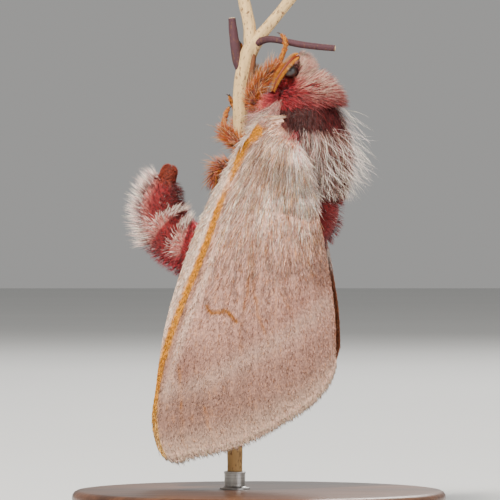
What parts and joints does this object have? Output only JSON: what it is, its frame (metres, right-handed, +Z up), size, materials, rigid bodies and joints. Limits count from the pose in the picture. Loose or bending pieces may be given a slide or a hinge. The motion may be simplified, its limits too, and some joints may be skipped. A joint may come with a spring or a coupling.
{
  "type": "tricolor buckmoth on a stem",
  "caption": "Life-size female tricolor buckmoth clinging head up to a cut dry stem, wings folded roof-like, on a small round stand.",
  "frame": {"origin": "centre of the stand base's underside", "axes": "+Z up along the stem, +X towards the moth's back, its belly and abdomen tip towards -X, its left side towards -Y"},
  "size_m": [0.04, 0.04, 0.0563],
  "materials": {
    "wing_scales": "matt, hair-like scales",
    "body_hair": "soft, silky hair",
    "red_hair": "soft, silky hair",
    "orange_hair": "soft, silky hair",
    "antenna": "matt",
    "eye": "glossy",
    "stem_bark": "dry, matt bark",
    "base_wood": "satin varnish",
    "rod_metal": "satin"
  },
  "bodies": {
    "root": {"stand_base": "base_wood", "stand_rod": "rod_metal", "perch_stem": "stem_bark", "head": "body_hair", "eye_left": "eye", "eye_right": "eye", "antenna_left": "antenna", "antenna_right": "antenna", "thorax": "body_hair", "abdomen_1": "red_hair", "abdomen_2": "red_hair", "abdomen_3": "red_hair", "abdomen_4": "red_hair", "abdomen_5": "red_hair", "abdomen_tip": "orange_hair", "leg_front_left": "orange_hair", "leg_front_right": "orange_hair", "leg_middle_left": "orange_hair", "leg_middle_right": "orange_hair", "leg_hind_left": "orange_hair", "leg_hind_right": "orange_hair", "forewing_left": "wing_scales", "forewing_right": "wing_scales", "hindwing_left": "wing_scales", "hindwing_right": "wing_scales"}
  },
  "joints": []
}
